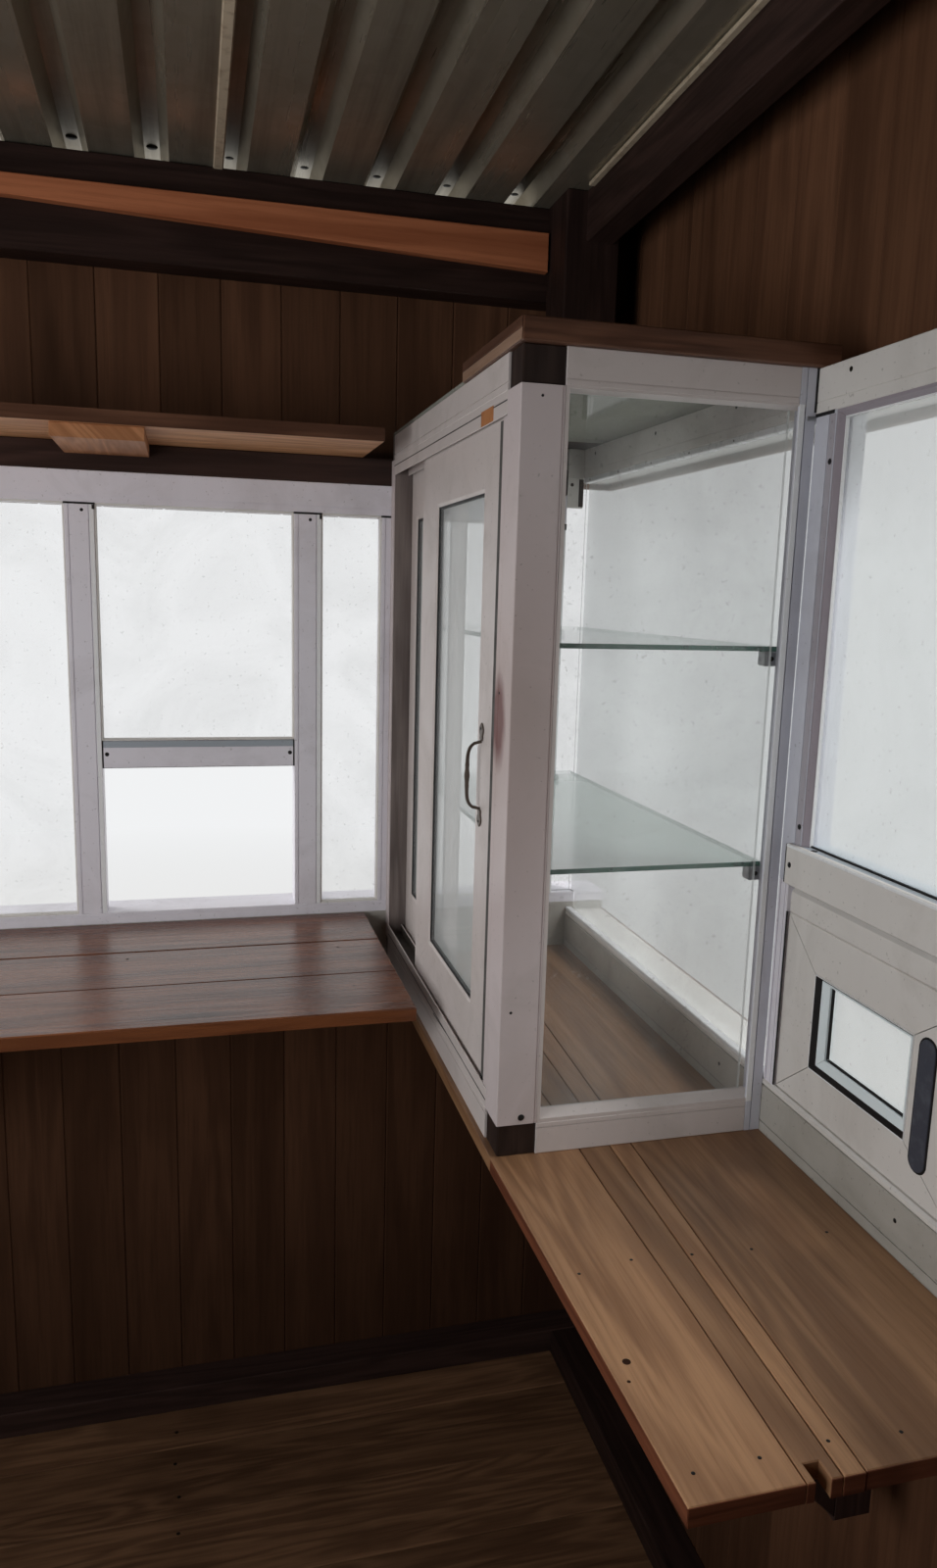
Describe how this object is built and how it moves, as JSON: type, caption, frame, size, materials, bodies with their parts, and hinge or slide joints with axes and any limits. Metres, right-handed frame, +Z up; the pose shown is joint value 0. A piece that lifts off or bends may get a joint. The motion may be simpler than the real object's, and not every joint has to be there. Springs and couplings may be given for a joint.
{
  "type": "street kiosk",
  "caption": "Small timber food kiosk on bearers: ribbed metal roof, glazed serving corner with a hatch, fitted counters, wall shelf and a corner display case with sliding doors.",
  "frame": {"origin": "on the ground under the middle of the roof, at the underside of the bearers", "axes": "+Z up, +Y towards the street front with the serving hatch, +X towards the side with the long window, the entrance is at -Y"},
  "size_m": [2.74, 2.74, 2.4386],
  "materials": {
    "bearer_timber": "rough sawn, weathered",
    "floor_timber": "worn boards",
    "frame_timber": "dark stained sawn timber",
    "pale_timber": "bare sawn timber",
    "cladding_timber": "varnished boards",
    "door_timber": "varnished boards",
    "front_counter_timber": "varnished boards",
    "right_counter_timber": "bare planks, worn",
    "shelf_timber": "bare plank",
    "case_timber": "dark stained",
    "case_board_timber": "dull plank",
    "roof_steel": "dull zinc coated sheet",
    "hinge_steel": "black paint",
    "white_aluminium": "white coated, grimy",
    "sill_aluminium": "dull, stained",
    "clear_glass": "clear, dusty",
    "shelf_glass": "clear with a green edge",
    "clip_metal": "dull",
    "handle_iron": "dark bronze"
  },
  "bodies": {
    "hut": {"base_bearers": "bearer_timber", "floor_deck": "floor_timber", "corner_posts": "frame_timber", "sole_plates": "frame_timber", "wall_girts": "frame_timber", "top_plates": "frame_timber", "side_rafters": "frame_timber", "roof_purlin": "frame_timber", "roof_sheet_left": "roof_steel", "roof_sheet_middle": "roof_steel", "roof_sheet_right": "roof_steel", "front_rail": "pale_timber", "front_lintel": "frame_timber", "front_wall": "cladding_timber", "right_wall": "cladding_timber", "left_wall": "cladding_timber", "rear_wall": "cladding_timber", "door_frame": "frame_timber", "entrance_door": "door_timber", "door_hinges": "hinge_steel", "window_headers": "white_aluminium", "sill_rail": "sill_aluminium", "window_sills": "white_aluminium", "window_mullions": "white_aluminium", "window_transoms": "white_aluminium", "window_glass": "clear_glass", "right_sashes": "white_aluminium", "front_counter": "front_counter_timber", "right_counter": "right_counter_timber", "counter_supports": "frame_timber", "wall_shelf": "shelf_timber", "shelf_cleats": "pale_timber", "case_posts": "case_timber", "case_post_covers": "white_aluminium", "case_rails": "white_aluminium", "door_tracks": "white_aluminium", "case_top_board": "case_board_timber", "case_glass": "clear_glass", "case_shelves": "shelf_glass", "case_shelf_clips": "clip_metal"},
    "near_door": {"near_case_door": "white_aluminium", "near_case_door_glass": "clear_glass", "near_door_handle": "handle_iron"},
    "far_door": {"far_case_door": "white_aluminium", "far_case_door_glass": "clear_glass"}
  },
  "joints": [
    {"name": "near_door_slide", "type": "slide", "parent": "hut", "child": "near_door", "axis": [0, 1, 0], "range_m": [0, 0.2]},
    {"name": "far_door_slide", "type": "slide", "parent": "hut", "child": "far_door", "axis": [0, -1, 0], "range_m": [0, 0.321]}
  ]
}
